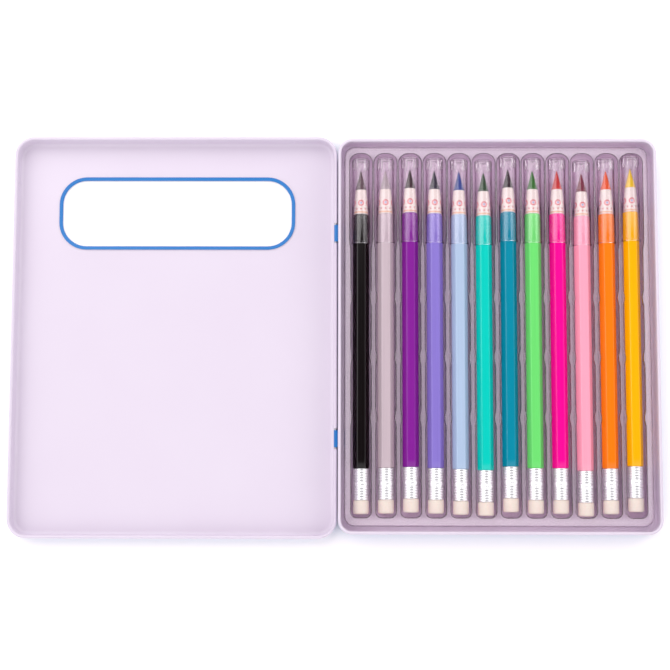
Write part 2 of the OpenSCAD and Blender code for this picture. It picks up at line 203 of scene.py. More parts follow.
# The paper's painted glow is left out under the open tin and rises across its edges: painted shade
stand_x, stand_half_w, stand_half_l = -79, 158, 98
centred = add(
    tree,
    "ShaderNodeMapping",
    {
        "Vector": add(tree, "ShaderNodeTexCoord").outputs["Object"],
        "Location": (-stand_x / stand_half_w, 0, 0),
        "Scale": (1 / (stand_half_w * MM), 1 / (stand_half_l * MM), 0),
    },
)
centred = add(tree, "ShaderNodeVectorMath", {0: centred}, operation="ABSOLUTE")
sides = add(tree, "ShaderNodeSeparateXYZ", {0: centred})
farthest = add(
    tree, "ShaderNodeMath", {0: sides.outputs["X"], 1: sides.outputs["Y"]}, operation="MAXIMUM"
)
# Emission makes the paper glow: painted light, since the paper is no lamp
painted_glow = add(
    tree, "ShaderNodeMapRange", {"Value": farthest, "From Min": 0.94, "From Max": 1.01, "To Max": 0.16}
)
glowing_paper = add(
    tree,
    "ShaderNodeBsdfPrincipled",
    {
        "Base Color": tone.outputs[2],
        "Roughness": 0.9,
        "Emission Color": srgb("#fffaf8"),
        "Emission Strength": painted_glow,
    },
)
add(tree, "ShaderNodeOutputMaterial", {"Surface": glowing_paper})
paper_mesh.materials.append(paper_finish)

# ---- Base ----
# The deep half of the tin: one sheet of 0.3 mm tinplate, drawn into a pan, lacquered lilac
# inside and printed blue outside below the line that the closed lid comes down to. Its rim
# is rolled inwards, and two catches are pressed out of its front wall.
sheet = 0.3
hem_r = 0.75
hem_sweep = 300  # degrees that the rim is rolled through
floor_r = 2.2
base_w, base_l, base_h, base_corner = 155.5, 192.3, 15.4, 7.0
hinge_x, hinge_y, hinge_z = -78.95, 50.4, 8.1
print_edge = 8.3
catch_y, catch_z = 75.5, 11.5
catch_rise, catch_foot = 0.4, 1.1
hollow_depth, hollow_foot = 0.7, 1.25  # in the lid, round a catch
INSIDE, OUTSIDE, BARE = range(3)  # material slots of a tinplate piece
plan_step, corner_steps = 15, 12
press_half, press_reach, press_step = 1.5, 1.8, 0.3  # where points stand closer round a boss


def lacquered(name, colour, shade, rough):
    """Stoved gloss lacquer on rolled tinplate: faint orange peel, a little uneven in tone."""
    material, tree = new_finish(name)
    drift = grain(tree, [55] * 3)
    tone = add(
        tree, "ShaderNodeMix", {"Factor": drift, 6: srgb(colour), 7: srgb(shade)}, data_type="RGBA"
    )
    # Orange peel has ripples about 1.5 mm apart, a few microns high
    peel = grain(tree, [1.5] * 3)
    ripple = add(tree, "ShaderNodeBump", {"Height": peel, "Strength": 0.12, "Distance": 0.02 * MM})
    gloss = add(tree, "ShaderNodeMapRange", {"Value": drift, "To Min": rough, "To Max": rough + 0.12})
    surface = add(
        tree,
        "ShaderNodeBsdfPrincipled",
        {"Base Color": tone.outputs[2], "Roughness": gloss, "IOR": 1.5, "Normal": ripple},
    )
    add(tree, "ShaderNodeOutputMaterial", {"Surface": surface})
    return material


lilac_lacquer = lacquered("Lilac Stoved Lacquer", "#dcd3e1", "#d7ccdc", 0.36)
blue_lacquer = lacquered("Blue Printed Lacquer", "#1a6eb8", "#227ac2", 0.24)


def marked_metal(name, colour, metallic, spacing, low, high, chart=None):
    """Bright metal whose shine is broken by fine marks. low and high are the roughness that
    the marks give."""
    material, tree = new_finish(name)
    marks = grain(tree, spacing, chart=chart)
    rough = add(tree, "ShaderNodeMapRange", {"Value": marks, "To Min": low, "To Max": high})
    surface = add(
        tree,
        "ShaderNodeBsdfPrincipled",
        {"Base Color": srgb(colour), "Metallic": metallic, "Roughness": rough},
    )
    add(tree, "ShaderNodeOutputMaterial", {"Surface": surface})
    return material


# The cut edge of the sheet shows bare tin: bright, with fine shear marks
bare_tin = marked_metal("Cut Tinplate Edge", "#d8d9dc", 1.0, [0.2] * 3, 0.25, 0.45)
tin_slots = [lilac_lacquer, blue_lacquer, bare_tin]


def arc(centre, radius, start, end, steps):
    """Points of an arc in the plane of a section, from one angle to another in degrees."""
    angles = [math.radians(start + (end - start) * k / steps) for k in range(steps + 1)]
    return [(centre[0] + radius * math.cos(a), centre[1] + radius * math.sin(a)) for a in angles]


def span(start, end, step):
    """Even stops from start to end, about step apart, with both ends."""
    count = max(1, round(abs(end - start) / step))
    return [start + (end - start) * k / count for k in range(count + 1)]


def rounded_plan(width, length, radius, marks=(), centre=(0, 0)):
    """Points and outward normals round a rounded rectangle, seen from above. Each mark, a
    side and a place along it, has closer points about it. Side 0 faces +X, side 1 +Y."""
    plan = []
    for side in range(4):
        run, reach = (length, width / 2) if side % 2 == 0 else (width, length / 2)
        half = run / 2 - radius
        stops = span(-half, half, plan_step)
        for marked, place in marks:
            if marked == side:
                stops = [s for s in stops if abs(s - place) > press_reach + 0.4]
                stops += span(place - press_reach, place + press_reach, press_step)
        turned = Matrix.Rotation(math.radians(90 * side), 2)
        points = [(Vector((reach, s)), Vector((1, 0))) for s in sorted(stops)]
        for k in range(1, corner_steps):
            a = math.radians(90 * k / corner_steps)
            normal = Vector((math.cos(a), math.sin(a)))
            points.append((Vector((reach - radius, half)) + radius * normal, normal))
        plan += [(turned @ p + Vector(centre), turned @ n) for p, n in points]
    return plan


def sweep(mesh, plan, section, slots, pressed=()):
    """Runs a section round a plan. The section is (distance outwards, height) pairs, and
    slots gives each stretch's material. pressed lists the bosses pressed through its wall:
    centre, direction, how far and how wide."""
    rings = []
    for out, z in section:
        ring = []
        for point, normal in plan:
            place = Vector((*(point + out * normal), z))
            for centre, way, rise, foot in pressed:
                across = place - Vector(centre)
                across -= across.dot(Vector(way)) * Vector(way)
                level = across.length / foot
                if level < 1 and normal.dot(Vector(way).xy) > 0.99:
                    place += Vector(way) * rise * (1 - level**2) ** 2
            ring.append(mesh.verts.new(place * MM))
        rings.append(ring)
    for k, (low, high) in enumerate(zip(rings, rings[1:])):
        for i in range(len(plan)):
            j = (i + 1) % len(plan)
            mesh.faces.new((low[i], low[j], high[j], high[i])).material_index = slots[k]
    return rings


def flat_fill(mesh, loops, slot):
    """Fills the flat region between closed rings of vertices."""
    edges = [
        mesh.edges.get((ring[i - 1], ring[i])) or mesh.edges.new((ring[i - 1], ring[i]))
        for ring in loops
        for i in range(len(ring))
    ]
    filled = bmesh.ops.triangle_fill(mesh, edges=edges, use_beauty=True, use_dissolve=False)
    for face in filled["geom"]:
        if isinstance(face, bmesh.types.BMFace):
            face.material_index = slot


def box(centre, size):
    """A box in a new bmesh."""
    mesh = bmesh.new()
    placed = Matrix.Translation(Vector(centre) * MM) @ Matrix.Diagonal((*[s * MM for s in size], 1))
    bmesh.ops.create_cube(mesh, size=1, matrix=placed)
    return mesh


def box_cutter(centre, size):
    """A box that cuts a piece, with bare tin for the faces that it leaves."""
    mesh = box(centre, size)
    for face in mesh.faces:
        face.material_index = BARE
    data = bpy.data.meshes.new("Cutter")
    mesh.to_mesh(data)
    mesh.free()
    for finish in tin_slots:
        data.materials.append(finish)
    return new_object("Cutter", data)


def finished(piece):
    """Turns a piece and its live modifiers into one plain mesh."""
    bpy.context.view_layer.update()
    graph = bpy.context.evaluated_depsgraph_get()
    made = bpy.data.meshes.new_from_object(piece.evaluated_get(graph))
    piece.modifiers.clear()
    piece.data = made
    return piece


crease_angle = 40


def new_piece(name, mesh, finishes, crease=crease_angle):
    """Makes an object of a bmesh, its faces outwards, its edges sharp where they turn more
    than crease."""
    bmesh.ops.recalc_face_normals(mesh, faces=mesh.faces)
    data = bpy.data.meshes.new(name)
    mesh.to_mesh(data)
    mesh.free()
    for finish in finishes:
        data.materials.append(finish)
    data.shade_smooth()
    data.set_sharp_from_angle(angle=math.radians(crease))
    return new_object(name, data)


def cut_out(piece, cutters):
    """Cuts boxes out of a piece."""
    for cutter in cutters:
        cut = piece.modifiers.new("Cut", "BOOLEAN")
        cut.operation = "DIFFERENCE"
        cut.solver = "EXACT"
        cut.object = cutter
    finished(piece)
    piece.data.set_sharp_from_angle(angle=math.radians(crease_angle))
    for cutter in cutters:
        bpy.data.objects.remove(cutter)


rim_z = base_h - hem_r
pressed_stops = span(catch_z - press_half, catch_z + press_half, press_step)
wall_stops = sorted({*span(floor_r, print_edge, 2), *pressed_stops, rim_z})
outer = arc((-floor_r, floor_r), floor_r, -90, 0, 7)[:-1] + [(0, z) for z in wall_stops]
roll = arc((-hem_r, rim_z), hem_r, 0, hem_sweep, 20)[1:]
roll_back = arc((-hem_r, rim_z), hem_r - sheet, hem_sweep, 0, 14)
inner = [(-sheet, z) for z in reversed(wall_stops[:-1])]
inner += arc((-floor_r, floor_r), floor_r - sheet, 0, -90, 7)[1:]
section = outer + roll + roll_back + inner
slots = [OUTSIDE if z < print_edge - 0.01 else INSIDE for _, z in outer[:-1]]
slots += [INSIDE] * len(roll) + [BARE] + [INSIDE] * (len(roll_back) - 1 + len(inner))
catches = [((base_w / 2, sy * catch_y, catch_z), (1, 0, 0), catch_rise, catch_foot) for sy in (-1, 1)]

mesh = bmesh.new()
plan = rounded_plan(base_w, base_l, base_corner, [(0, catch_y), (0, -catch_y)])
rings = sweep(mesh, plan, section, slots, catches)
flat_fill(mesh, [rings[0]], OUTSIDE)
flat_fill(mesh, [rings[-1]], INSIDE)
base_pan = new_piece("base_pan", mesh, tin_slots)

# The hinge tongues are lanced out of the wall, which leaves a window under each
knuckle_l, pin_r, pin_clear = 8.2, 0.45, 0.06
knuckle_in = pin_r + pin_clear
lance_h = 5.0
lance_top = hinge_z + knuckle_in
cut_out(
    base_pan,
    [
        box_cutter(
            (-base_w / 2 + sheet / 2, sy * hinge_y, lance_top - lance_h / 2),
            (sheet * 3, knuckle_l, lance_h),
        )
        for sy in (-1, 1)
    ],
)
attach(base_pan, "base")
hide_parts("base_shell")

# ---- Hinge knuckles ----
# Two tongues of the base's own sheet, bent out through the lid's slots and rolled round the
# hinge pins. Their printed blue side faces out, so the knuckles show blue.
knuckle_out = knuckle_in + sheet
knuckle_end, out_steps, in_steps = 90 + 310, 22, 18
tongue = [(-base_w / 2 - hinge_x - sheet / 2, knuckle_out)]
tongue += arc((0, 0), knuckle_out, 90, knuckle_end, out_steps)
tongue += arc((0, 0), knuckle_in, knuckle_end, 90, in_steps)
tongue += [(tongue[0][0], knuckle_in)]
mesh = bmesh.new()
ends = [[mesh.verts.new(Vector((x, sy * knuckle_l / 2, z)) * MM) for x, z in tongue] for sy in (-1, 1)]
for i in range(len(tongue)):
    j = (i + 1) % len(tongue)
    side = mesh.faces.new((ends[0][i], ends[0][j], ends[1][j], ends[1][i]))
    side.material_index = 1 if i > out_steps + 1 else 0
for ring in ends:
    mesh.faces.new(ring).material_index = 2
knuckles = new_piece("hinge_knuckles", mesh, [blue_lacquer, lilac_lacquer, bare_tin])


def new_form(name, inputs):
    """A Geometry Nodes tree with named inputs, after its incoming geometry."""
    tree = bpy.data.node_groups.new(name, "GeometryNodeTree")
    tree.interface.new_socket("Geometry", in_out="OUTPUT", socket_type="NodeSocketGeometry")
    tree.interface.new_socket("Geometry", in_out="INPUT", socket_type="NodeSocketGeometry")
    for label, kind in inputs.items():
        tree.interface.new_socket(label, in_out="INPUT", socket_type=kind)
    return tree, add(tree, "NodeGroupInput")


def form(piece, tree, values):
    """Puts a tree on a piece with its inputs set, and turns the result into a plain mesh."""
    modifier = piece.modifiers.new(tree.name, "NODES")
    modifier.node_group = tree
    for item in tree.interface.items_tree:
        if item.in_out == "INPUT" and item.name in values:
            modifier[item.identifier] = values[item.name]
    return finished(piece)


# A row of like pieces, side by side about the middle
weld = 0.004
row, start = new_form(
    "Row Of Pieces",
    {
        "Count": "NodeSocketInt",
        "Pitch": "NodeSocketVector",
        "Middle": "NodeSocketVector",
        "Finish": "NodeSocketMaterial",
    },
)
half_count = add(row, "ShaderNodeMath", {0: start.outputs["Count"], 1: 1.0}, operation="SUBTRACT")
half_count = add(row, "ShaderNodeMath", {0: half_count, 1: -0.5}, operation="MULTIPLY")
offset = add(
    row, "ShaderNodeVectorMath", {0: start.outputs["Pitch"], "Scale": half_count}, operation="SCALE"
)
origin = add(row, "ShaderNodeVectorMath", {0: offset, 1: start.outputs["Middle"]})
line = add(
    row,
    "GeometryNodeMeshLine",
    {"Count": start.outputs["Count"], "Start Location": origin, "Offset": start.outputs["Pitch"]},
)
placed = add(row, "GeometryNodeInstanceOnPoints", {"Points": line, "Instance": start})
real = add(row, "GeometryNodeRealizeInstances", {0: placed})
welded = add(row, "GeometryNodeMergeByDistance", {0: real, "Distance": weld * MM})
# The finish goes on the first of the piece's slots, and its other slots stay as they are
slot_index = add(row, "GeometryNodeInputMaterialIndex")
first_slot = add(row, "FunctionNodeCompare", {2: slot_index, 3: 0}, data_type="INT", operation="EQUAL")
dressed = add(
    row,
    "GeometryNodeSetMaterial",
    {"Geometry": welded, "Selection": first_slot, "Material": start.outputs["Finish"]},
)
add(row, "NodeGroupOutput", {0: dressed})

form(
    knuckles,
    row,
    {
        "Count": 2,
        "Pitch": Vector((0, 2 * hinge_y, 0)) * MM,
        "Middle": Vector((hinge_x, 0, hinge_z)) * MM,
        "Finish": blue_lacquer,
    },
)
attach(knuckles, "base")

# ---- Lid ----
# The shallow half, of the same sheet, lying open with its lilac inside up. Its rim is rolled
# outwards, two slots in the rim clear the knuckles, its front wall has hollows for the
# catches, and each end wall has a dimple that grips the base.
lid_w, lid_l, lid_corner = 156.55, 194.1, 7.9
lid_x = hinge_x - hem_r - lid_w / 2
lid_catch_z = 2 * hinge_z - catch_z
dimple_in = 21.5
dimple_x, dimple_z = hinge_x - dimple_in, hinge_z / 2
slot_l, slot_depth = 10.0, 1.4
window_l, window_w, window_r, window_margin = 114.0, 33.0, 12.0, 18.9
window_y = lid_l / 2 - window_margin - window_w / 2
window_hem_w, window_hem_h = 1.75, 0.85
fold_r = window_hem_h / 2

wall_stops = sorted(
    {
        floor_r,
        *span(lid_catch_z - press_half, lid_catch_z + 1.2, press_step),
        *span(dimple_z - press_half, dimple_z + press_half, press_step),
        7.0,
        hinge_z,
    },
)
outer = arc((sheet - floor_r, floor_r), floor_r, -90, 0, 7)[:-1] + [(sheet, z) for z in wall_stops]
roll = arc((hem_r, hinge_z), hem_r - sheet, 180, 180 - hem_sweep, 14)[1:]
roll_back = arc((hem_r, hinge_z), hem_r, 180 - hem_sweep, 180, 20)
inner = [(0, z) for z in reversed(wall_stops[:-1])]
inner += arc((sheet - floor_r, floor_r), floor_r - sheet, 0, -90, 7)[1:]
section = outer + roll + roll_back + inner
slots = [OUTSIDE] * (len(outer) + len(roll) - 1) + [BARE]
slots += [INSIDE] * (len(roll_back) + len(inner) - 1)
pressed = [
    ((lid_x - lid_w / 2, sy * catch_y, lid_catch_z), (-1, 0, 0), hollow_depth, hollow_foot)
    for sy in (-1, 1)
]
pressed += [
    ((dimple_x, sy * lid_l / 2, dimple_z), (0, sy, 0), -catch_rise, catch_foot) for sy in (-1, 1)
]
marks = [(2, catch_y), (2, -catch_y), (1, -(dimple_x - lid_x)), (3, dimple_x - lid_x)]

mesh = bmesh.new()
plan = rounded_plan(lid_w, lid_l, lid_corner, marks, (lid_x, 0))
rings = sweep(mesh, plan, section, slots, pressed)

# The edge of the window is folded inwards and back over the panel, so its blue side shows
fold_steps, inner_steps = 10, 8
fold = arc((fold_r, fold_r), fold_r, 270, 90, fold_steps) + [(window_hem_w, window_hem_h)]
fold += [(window_hem_w, window_hem_h - sheet)]
fold += arc((fold_r, fold_r), fold_r - sheet, 90, 270, inner_steps)
slots = [OUTSIDE] * (fold_steps + 1) + [BARE] + [INSIDE] * (inner_steps + 1)
plan = rounded_plan(window_l, window_w, window_r, (), (lid_x, window_y))
hem = sweep(mesh, plan, fold, slots)
flat_fill(mesh, [rings[0], hem[0]], OUTSIDE)
flat_fill(mesh, [rings[-1], hem[-1]], INSIDE)
lid_pan = new_piece("lid_pan", mesh, tin_slots)
cut_out(
    lid_pan,
    [
        box_cutter((hinge_x, sy * hinge_y, hinge_z), (2 * hem_r + sheet, slot_l, 2 * slot_depth))
        for sy in (-1, 1)
    ],
)
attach(lid_pan, "lid")
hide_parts("lid_shell")

# ---- Hinge pins ----
# Drawn steel wire, gripped in the rolled rim of the lid on each side of a slot, with fine
# lines from the die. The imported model's own cylinders have the right shape, so they stay.
# Steel wire looks grey and satin, with lines 0.05 mm apart that run 4 mm along it
wire = marked_metal("Drawn Steel Wire", "#b9bcc2", 1.0, (0.05, 4, 0.05), 0.22, 0.4)
for end in ("upper", "lower"):
    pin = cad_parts[f"hinge_pin_{end}"]
    pin.data.materials.clear()
    pin.data.materials.append(wire)

# ---- Clear tray ----
# One sheet of clear PET, 0.35 mm thick, drawn by vacuum over a mould: a flange with a turned
# down skirt, and twelve channels, wide round the caps and narrow round the barrels, where
# three pairs of bumps stand in over each barrel.
tray_t = 0.35
pitch, pencil_count = 12.1, 12
channel_w, cap_channel_w = 9.7, 11.1
channel_y0, channel_y1, neck_y = -88.3, 90.1, 41.55
flange_z, axis_z = 9.3, 5.85
barrel_floor, cap_floor = 1.55, 1.0
tray_w, tray_l, tray_corner, tray_y = 150.0, 186.8, 5.5, 0.5
lip_r, foot_r = 0.45, 2.2
nub_mid_y, nub_pitch, nub_l, nub_rise = -10.85, 29.4, 9.0, 0.7
nub_places = [nub_mid_y + k * nub_pitch for k in (-1, 0, 1)]


def clear_plastic(name, wall, tint, haze, wall_haze, rough, ripple_h, drawn=None):
    """Clear sheet or moulding of IOR 1.5, bent and mirrored as glass is, a little hazy, with
    long ripples from forming. Light reaches what lies under it, less the tint. Steep faces take
    the darker wall colour, which is painted shade. Drawn gives the half width and half length of
    the field that forming has stretched thin, where flats are less milky and take most of that
    painted shade."""
    material, tree = new_finish(name)
    ripple_map = grain(tree, [9] * 3, detail=1)
    ripple = add(
        tree, "ShaderNodeBump", {"Height": ripple_map, "Strength": 0.5, "Distance": ripple_h * MM}
    )
    # Flats keep the sheet's full thickness, so they look milkier than what is drawn into walls.
    # Walls take a darker colour too, which is painted shade.
    facing = add(tree, "ShaderNodeSeparateXYZ", {0: add(tree, "ShaderNodeTexCoord").outputs["Normal"]})
    level = add(tree, "ShaderNodeMath", {0: facing.outputs["Z"]}, operation="ABSOLUTE")
    flat = add(tree, "ShaderNodeMapRange", {"Value": level, "From Min": 0.3, "From Max": 0.95})
    if drawn:
        place = add(tree, "ShaderNodeTexCoord").outputs["Object"]
        shares = add(
            tree, "ShaderNodeVectorMath", {0: place, 1: Vector((*drawn, 1)) * MM}, operation="DIVIDE"
        )
        shares = add(tree, "ShaderNodeVectorMath", {0: shares}, operation="ABSOLUTE")
        shares = add(tree, "ShaderNodeSeparateXYZ", {0: shares})
        outermost = add(
            tree,
            "ShaderNodeMath",
            {0: shares.outputs["X"], 1: shares.outputs["Y"]},
            operation="MAXIMUM",
        )
        rim = add(
            tree,
            "ShaderNodeMapRange",
            {"Value": outermost, "From Min": 0.97, "From Max": 1.0, "To Min": 0.35},
        )
        flat = add(tree, "ShaderNodeMath", {0: flat, 1: rim}, operation="MULTIPLY")
    # Painted shade: steep walls, and flats inside the drawn field, take the darker wall colour
    colour = add(
        tree, "ShaderNodeMix", {"Factor": flat, 6: srgb(wall), 7: srgb("#fffdfe")}, data_type="RGBA"
    )
    milk = add(tree, "ShaderNodeMapRange", {"Value": flat, "To Min": wall_haze, "To Max": haze})
    bending = add(
        tree,
        "ShaderNodeBsdfPrincipled",
        {
            "Base Color": colour.outputs[2],
            "Roughness": rough,
            "IOR": 1.5,
            "Transmission Weight": 1.0,
            "Normal": ripple,
        },
    )
    cloud = add(tree, "ShaderNodeBsdfDiffuse", {"Color": srgb("#f8ecf6")})
    seen = add(tree, "ShaderNodeMixShader", {0: milk, 1: bending, 2: cloud})
    ray = add(tree, "ShaderNodeLightPath")
    lighting = add(
        tree,
        "ShaderNodeMath",
        {0: ray.outputs["Is Shadow Ray"], 1: ray.outputs["Is Diffuse Ray"]},
        operation="MAXIMUM",
    )
    clear = add(tree, "ShaderNodeBsdfTransparent", {"Color": srgb(tint)})
    body = add(tree, "ShaderNodeMixShader", {0: lighting, 1: seen, 2: clear})
    add(tree, "ShaderNodeOutputMaterial", {"Surface": body})
    return material


# The PET's wall colour is painted shade on its walls and the crests between the pencils
clear_pet = clear_plastic(
    "Clear Vacuum Formed PET", "#e4d8e1", "#fcf8fb", 0.24, 0.01, 0.03, 0.01, (pitch * 6, channel_y1)
)


def smooth(value, low, high):
    """0 below low, 1 above high, and an even rise between."""
    t = min(max((value - low) / (high - low), 0), 1)
    return t * t * (3 - 2 * t)


# Right half of one channel's outline at the height of the pencils' axis, from its back end
end_r, mouth_r = 2.9, 4.6
half_outline = [(x, channel_y0) for x in (0.0, 1.0)]
half_outline += arc((channel_w / 2 - end_r, channel_y0 + end_r), end_r, -90, 0, 9)
side_stops = set(span(channel_y0 + end_r + 4, neck_y - 0.5, 12))
for nub_y in nub_places:
    side_stops = {y for y in side_stops if abs(y - nub_y) > nub_l / 2 + 1}
    side_stops |= set(span(nub_y - nub_l / 2, nub_y + nub_l / 2, 0.9))
half_outline += [(channel_w / 2, y) for y in sorted(side_stops)]
flare = 6.0
half_outline += [
    (channel_w / 2 + (cap_channel_w - channel_w) / 2 * smooth(y, neck_y, neck_y + flare), y)
    for y in span(neck_y, neck_y + flare, 0.75)
]
half_outline += [(cap_channel_w / 2, y) for y in span(neck_y + flare + 8, channel_y1 - mouth_r - 6, 9)]
half_outline += arc((cap_channel_w / 2 - mouth_r, channel_y1 - mouth_r), mouth_r, 0, 90, 11)
half_outline += [(0.0, channel_y1)]
outline = [Vector(p) for p in half_outline]
outline += [Vector((-x, y)) for x, y in reversed(half_outline[1:-1])]
outline = [p for i, p in enumerate(outline) if (p - outline[i - 1]).length > 0.02]
normals = []
for i, point in enumerate(outline):
    run = (outline[(i + 1) % len(outline)] - outline[i - 1]).normalized()
    normals.append(Vector((run.y, -run.x)))

# Section of a channel's wall: distance out of the outline, and height. It leans in by draft.
draft = 0.05
wall = arc((lip_r + draft, flange_z - lip_r), lip_r, 90, 90 + 83, 6)
wall += [(0.02, 7.6), (0.0, 6.6), (-0.02, 5.6), (-draft, 4.6)]
wall += arc((-draft - foot_r, barrel_floor + foot_r), foot_r, 0, -90, 8)

mesh = bmesh.new()
rings = []
for out, z in wall:
    ring = []
    for point, normal in zip(outline, normals):
        bump = 0
        for nub_y in nub_places:
            level = abs(point.y - nub_y) / (nub_l / 2)
            if level < 1 and abs(normal.x) > 0.9:
                bump = nub_rise * (1 - level**2) ** 2
        reach = out - bump * smooth(z, axis_z - 0.8, axis_z + 1.6)
        edge = point + reach * normal
        # Neighbouring channels meet along a crest half way between them
        if abs(edge.x) > pitch / 2:
            reach *= (pitch / 2 - abs(point.x)) / (abs(edge.x) - abs(point.x))
            edge = point + reach * normal
            crest = min(max((lip_r + draft - reach) / lip_r, 0), 1)
            height = flange_z - lip_r + lip_r * math.sqrt(1 - crest**2)
        else:
            height = z
        sink = (barrel_floor - cap_floor) * smooth(point.y, neck_y, neck_y + flare)
        height -= sink * smooth(-height, -axis_z, -barrel_floor - 1)
        ring.append(mesh.verts.new(Vector((edge.x, edge.y, height)) * MM))
    rings.append(ring)
for high, low in zip(rings, rings[1:]):
    for i in range(len(outline)):
        j = (i + 1) % len(outline)
        mesh.faces.new((high[i], high[j], low[j], low[i]))
mesh.faces.new(rings[-1])
bmesh.ops.remove_doubles(mesh, verts=mesh.verts, dist=weld * MM)
tray = new_piece("clear_tray_sheet", mesh, [clear_pet], crease=60)
form(
    tray,
    row,
    {
        "Count": pencil_count,
        "Pitch": Vector((pitch, 0, 0)) * MM,
        "Middle": Vector((0, 0, 0)),
        "Finish": clear_pet,
    },
)

# The flange joins the channels to a skirt round the outside
mesh = bmesh.new()
mesh.from_mesh(tray.data)
rim_edges = [e for e in mesh.edges if len(e.link_faces) == 1]
turn_r, flare_out = 1.2, 0.3
skirt = arc((-turn_r - flare_out, flange_z - turn_r), turn_r, 90, 0, 7)
skirt += [(-flare_out * 0.6, 5.0), (0.0, 0.75)]
plan = rounded_plan(tray_w, tray_l, tray_corner, (), (0, tray_y))
skirt_rings = sweep(mesh, plan, skirt, [0] * len(skirt))
outer_edges = [mesh.edges.get((skirt_rings[0][i - 1], skirt_rings[0][i])) for i in range(len(plan))]
bmesh.ops.triangle_fill(mesh, edges=rim_edges + outer_edges, use_beauty=True)
bmesh.ops.recalc_face_normals(mesh, faces=mesh.faces)
top_face = max(mesh.faces, key=lambda f: f.calc_center_median().z)
if top_face.normal.z < 0:
    bmesh.ops.reverse_faces(mesh, faces=mesh.faces)
mesh.to_mesh(tray.data)
mesh.free()
tray.data.shade_smooth()
thick = tray.modifiers.new("Sheet", "SOLIDIFY")
thick.thickness = tray_t * MM
thick.offset = -1
finished(tray)
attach(tray, "tray")
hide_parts("clear_tray")

# ---- Pencil barrels ----
# Moulded plastic in twelve colours, a hexagon 8 mm over its rounded corners with a flat face
# up. The satin skin shows faint streaks along the mould's draw.
barrel_r, flat_r = 4.0, 3.56  # over the corners, and out to the flats


def turned_form(profile, axis, steps, closed=False, shape=None):
    """Skins a round form about a pencil's axis. The profile is (place along the axis, radius)
    pairs, and axis is the point that it starts from. shape may change a radius by its angle
    and place. The map runs once round and in millimetres along."""
    mesh = bmesh.new()
    chart = mesh.loops.layers.uv.new("Round")
    rings = []
    for along, radius in profile:
        if radius < 1e-6:
            rings.append([mesh.verts.new((axis + Vector((0, along, 0))) * MM)])
            continue
        ring = []
        for i in range(steps):
            a = 2 * math.pi * i / steps
            r = shape(a, along, radius) if shape else radius
            ring.append(mesh.verts.new((axis + Vector((r * math.sin(a), along, r * math.cos(a)))) * MM))
        rings.append(ring)
    pairs = list(zip(rings, rings[1:], profile, profile[1:]))
    if closed:
        pairs.append((rings[-1], rings[0], profile[-1], profile[0]))
    for low, high, (low_y, _), (high_y, _) in pairs:
        if len(low) == 1 and len(high) == 1:
            continue
        for i in range(steps):
            j = (i + 1) % steps
            corners = []
            if len(low) > 1:
                corners += [(low[i], i, low_y), (low[j], i + 1, low_y)]
            else:
                corners += [(low[0], i + 0.5, low_y)]
            if len(high) > 1:
                corners += [(high[j], i + 1, high_y), (high[i], i, high_y)]
            else:
                corners += [(high[0], i + 0.5, high_y)]
            face = mesh.faces.new([c[0] for c in corners])
            for loop, (_, place, along) in zip(face.loops, corners):
                loop[chart].uv = (place / steps, along)
    return mesh


def hexagonal(angle, along, radius):
    """A section with six flats, one of them facing up, and rounded corners."""
    local = (angle + math.pi / 6) % (math.pi / 3) - math.pi / 6
    flat = flat_r / barrel_r / math.cos(local)
    corner = 0.05
    gap = max(corner - abs(flat - 1), 0) / corner
    return radius * (min(flat, 1) - gap * gap * corner / 4)


def grained(name, colours, spacing, detail, rough, relief, chart=None, more=None):
    """A moulded or ground finish, uneven in tone between two linear colours. rough is even,
    or a low and a high that the grain moves it between. relief is strength and height."""
    material, tree = new_finish(name)
    pattern = grain(tree, spacing, detail, chart)
    tone = add(
        tree, "ShaderNodeMix", {"Factor": pattern, 6: colours[0], 7: colours[1]}, data_type="RGBA"
    )
    if isinstance(rough, tuple):
        ends = {"Value": pattern, "To Min": rough[0], "To Max": rough[1]}
        rough = add(tree, "ShaderNodeMapRange", ends)
    bumps = {"Height": pattern, "Strength": relief[0], "Distance": relief[1] * MM}
    look = {"Base Color": tone.outputs[2], "Roughness": rough, "IOR": 1.5, **(more or {})}
    look["Normal"] = add(tree, "ShaderNodeBump", bumps)
    surface = add(tree, "ShaderNodeBsdfPrincipled", look)
    add(tree, "ShaderNodeOutputMaterial", {"Surface": surface})
    return material


def deeper(colour, share):
    """A colour's linear value, taken down to a share of itself."""
    return (*(c * share for c in srgb(colour)[:3]), 1)


pencils = [f"pencil_{number:02d}" for number in range(1, pencil_count + 1)]
barrel_colours = [
    ("Black", "#080103"),
    ("Warm Grey", "#c6b4bc"),
    ("Purple", "#841e96"),
    ("Periwinkle", "#8977cc"),
    ("Light Blue", "#afc4e0"),
    ("Turquoise", "#00cebe"),
    ("Teal", "#008ba5"),
    ("Light Green", "#6edf71"),
    ("Magenta", "#ff0095"),
    ("Pink", "#fca6bd"),
    ("Orange", "#ff7f0e"),
    ("Yellow", "#ffb800"),
]
barrel_l = 124.8
shoulders = {}  # front end of each barrel, on its axis
for pencil, (colour_name, colour) in zip(pencils, barrel_colours):
    low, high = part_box(f"{pencil}_barrel")
    shoulder = Vector(((low.x + high.x) / 2, high.y, (low.z + high.z) / 2)) / MM
    shoulders[pencil] = shoulder
    mesh = turned_form(
        [
            (-barrel_l, 0),
            (-barrel_l, barrel_r - 0.35),
            (-barrel_l + 0.1, barrel_r - 0.15),
            (-barrel_l + 0.35, barrel_r),
            *[(y, barrel_r) for y in span(-barrel_l + 4, -4, 8)],
            (-0.5, barrel_r),
            (-0.15, barrel_r - 0.12),
            (0, barrel_r - 0.4),
            (0, 0),
        ],
        shoulder,
        120,
        shape=hexagonal,
    )
    # ABS with a satin skin and streaks 0.6 mm apart that run the barrel's whole length
    satin = grained(
        f"Satin ABS {colour_name}",
        (deeper(colour, 0.86), srgb(colour)),
        (0.6, 60, 0.6),
        detail=2,
        rough=(0.17, 0.27),
        relief=(0.08, 0.02),
    )
    piece = new_piece(f"{pencil}_satin_barrel", mesh, [satin], crease=35)
    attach(piece, pencil)
    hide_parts(f"{pencil}_barrel")

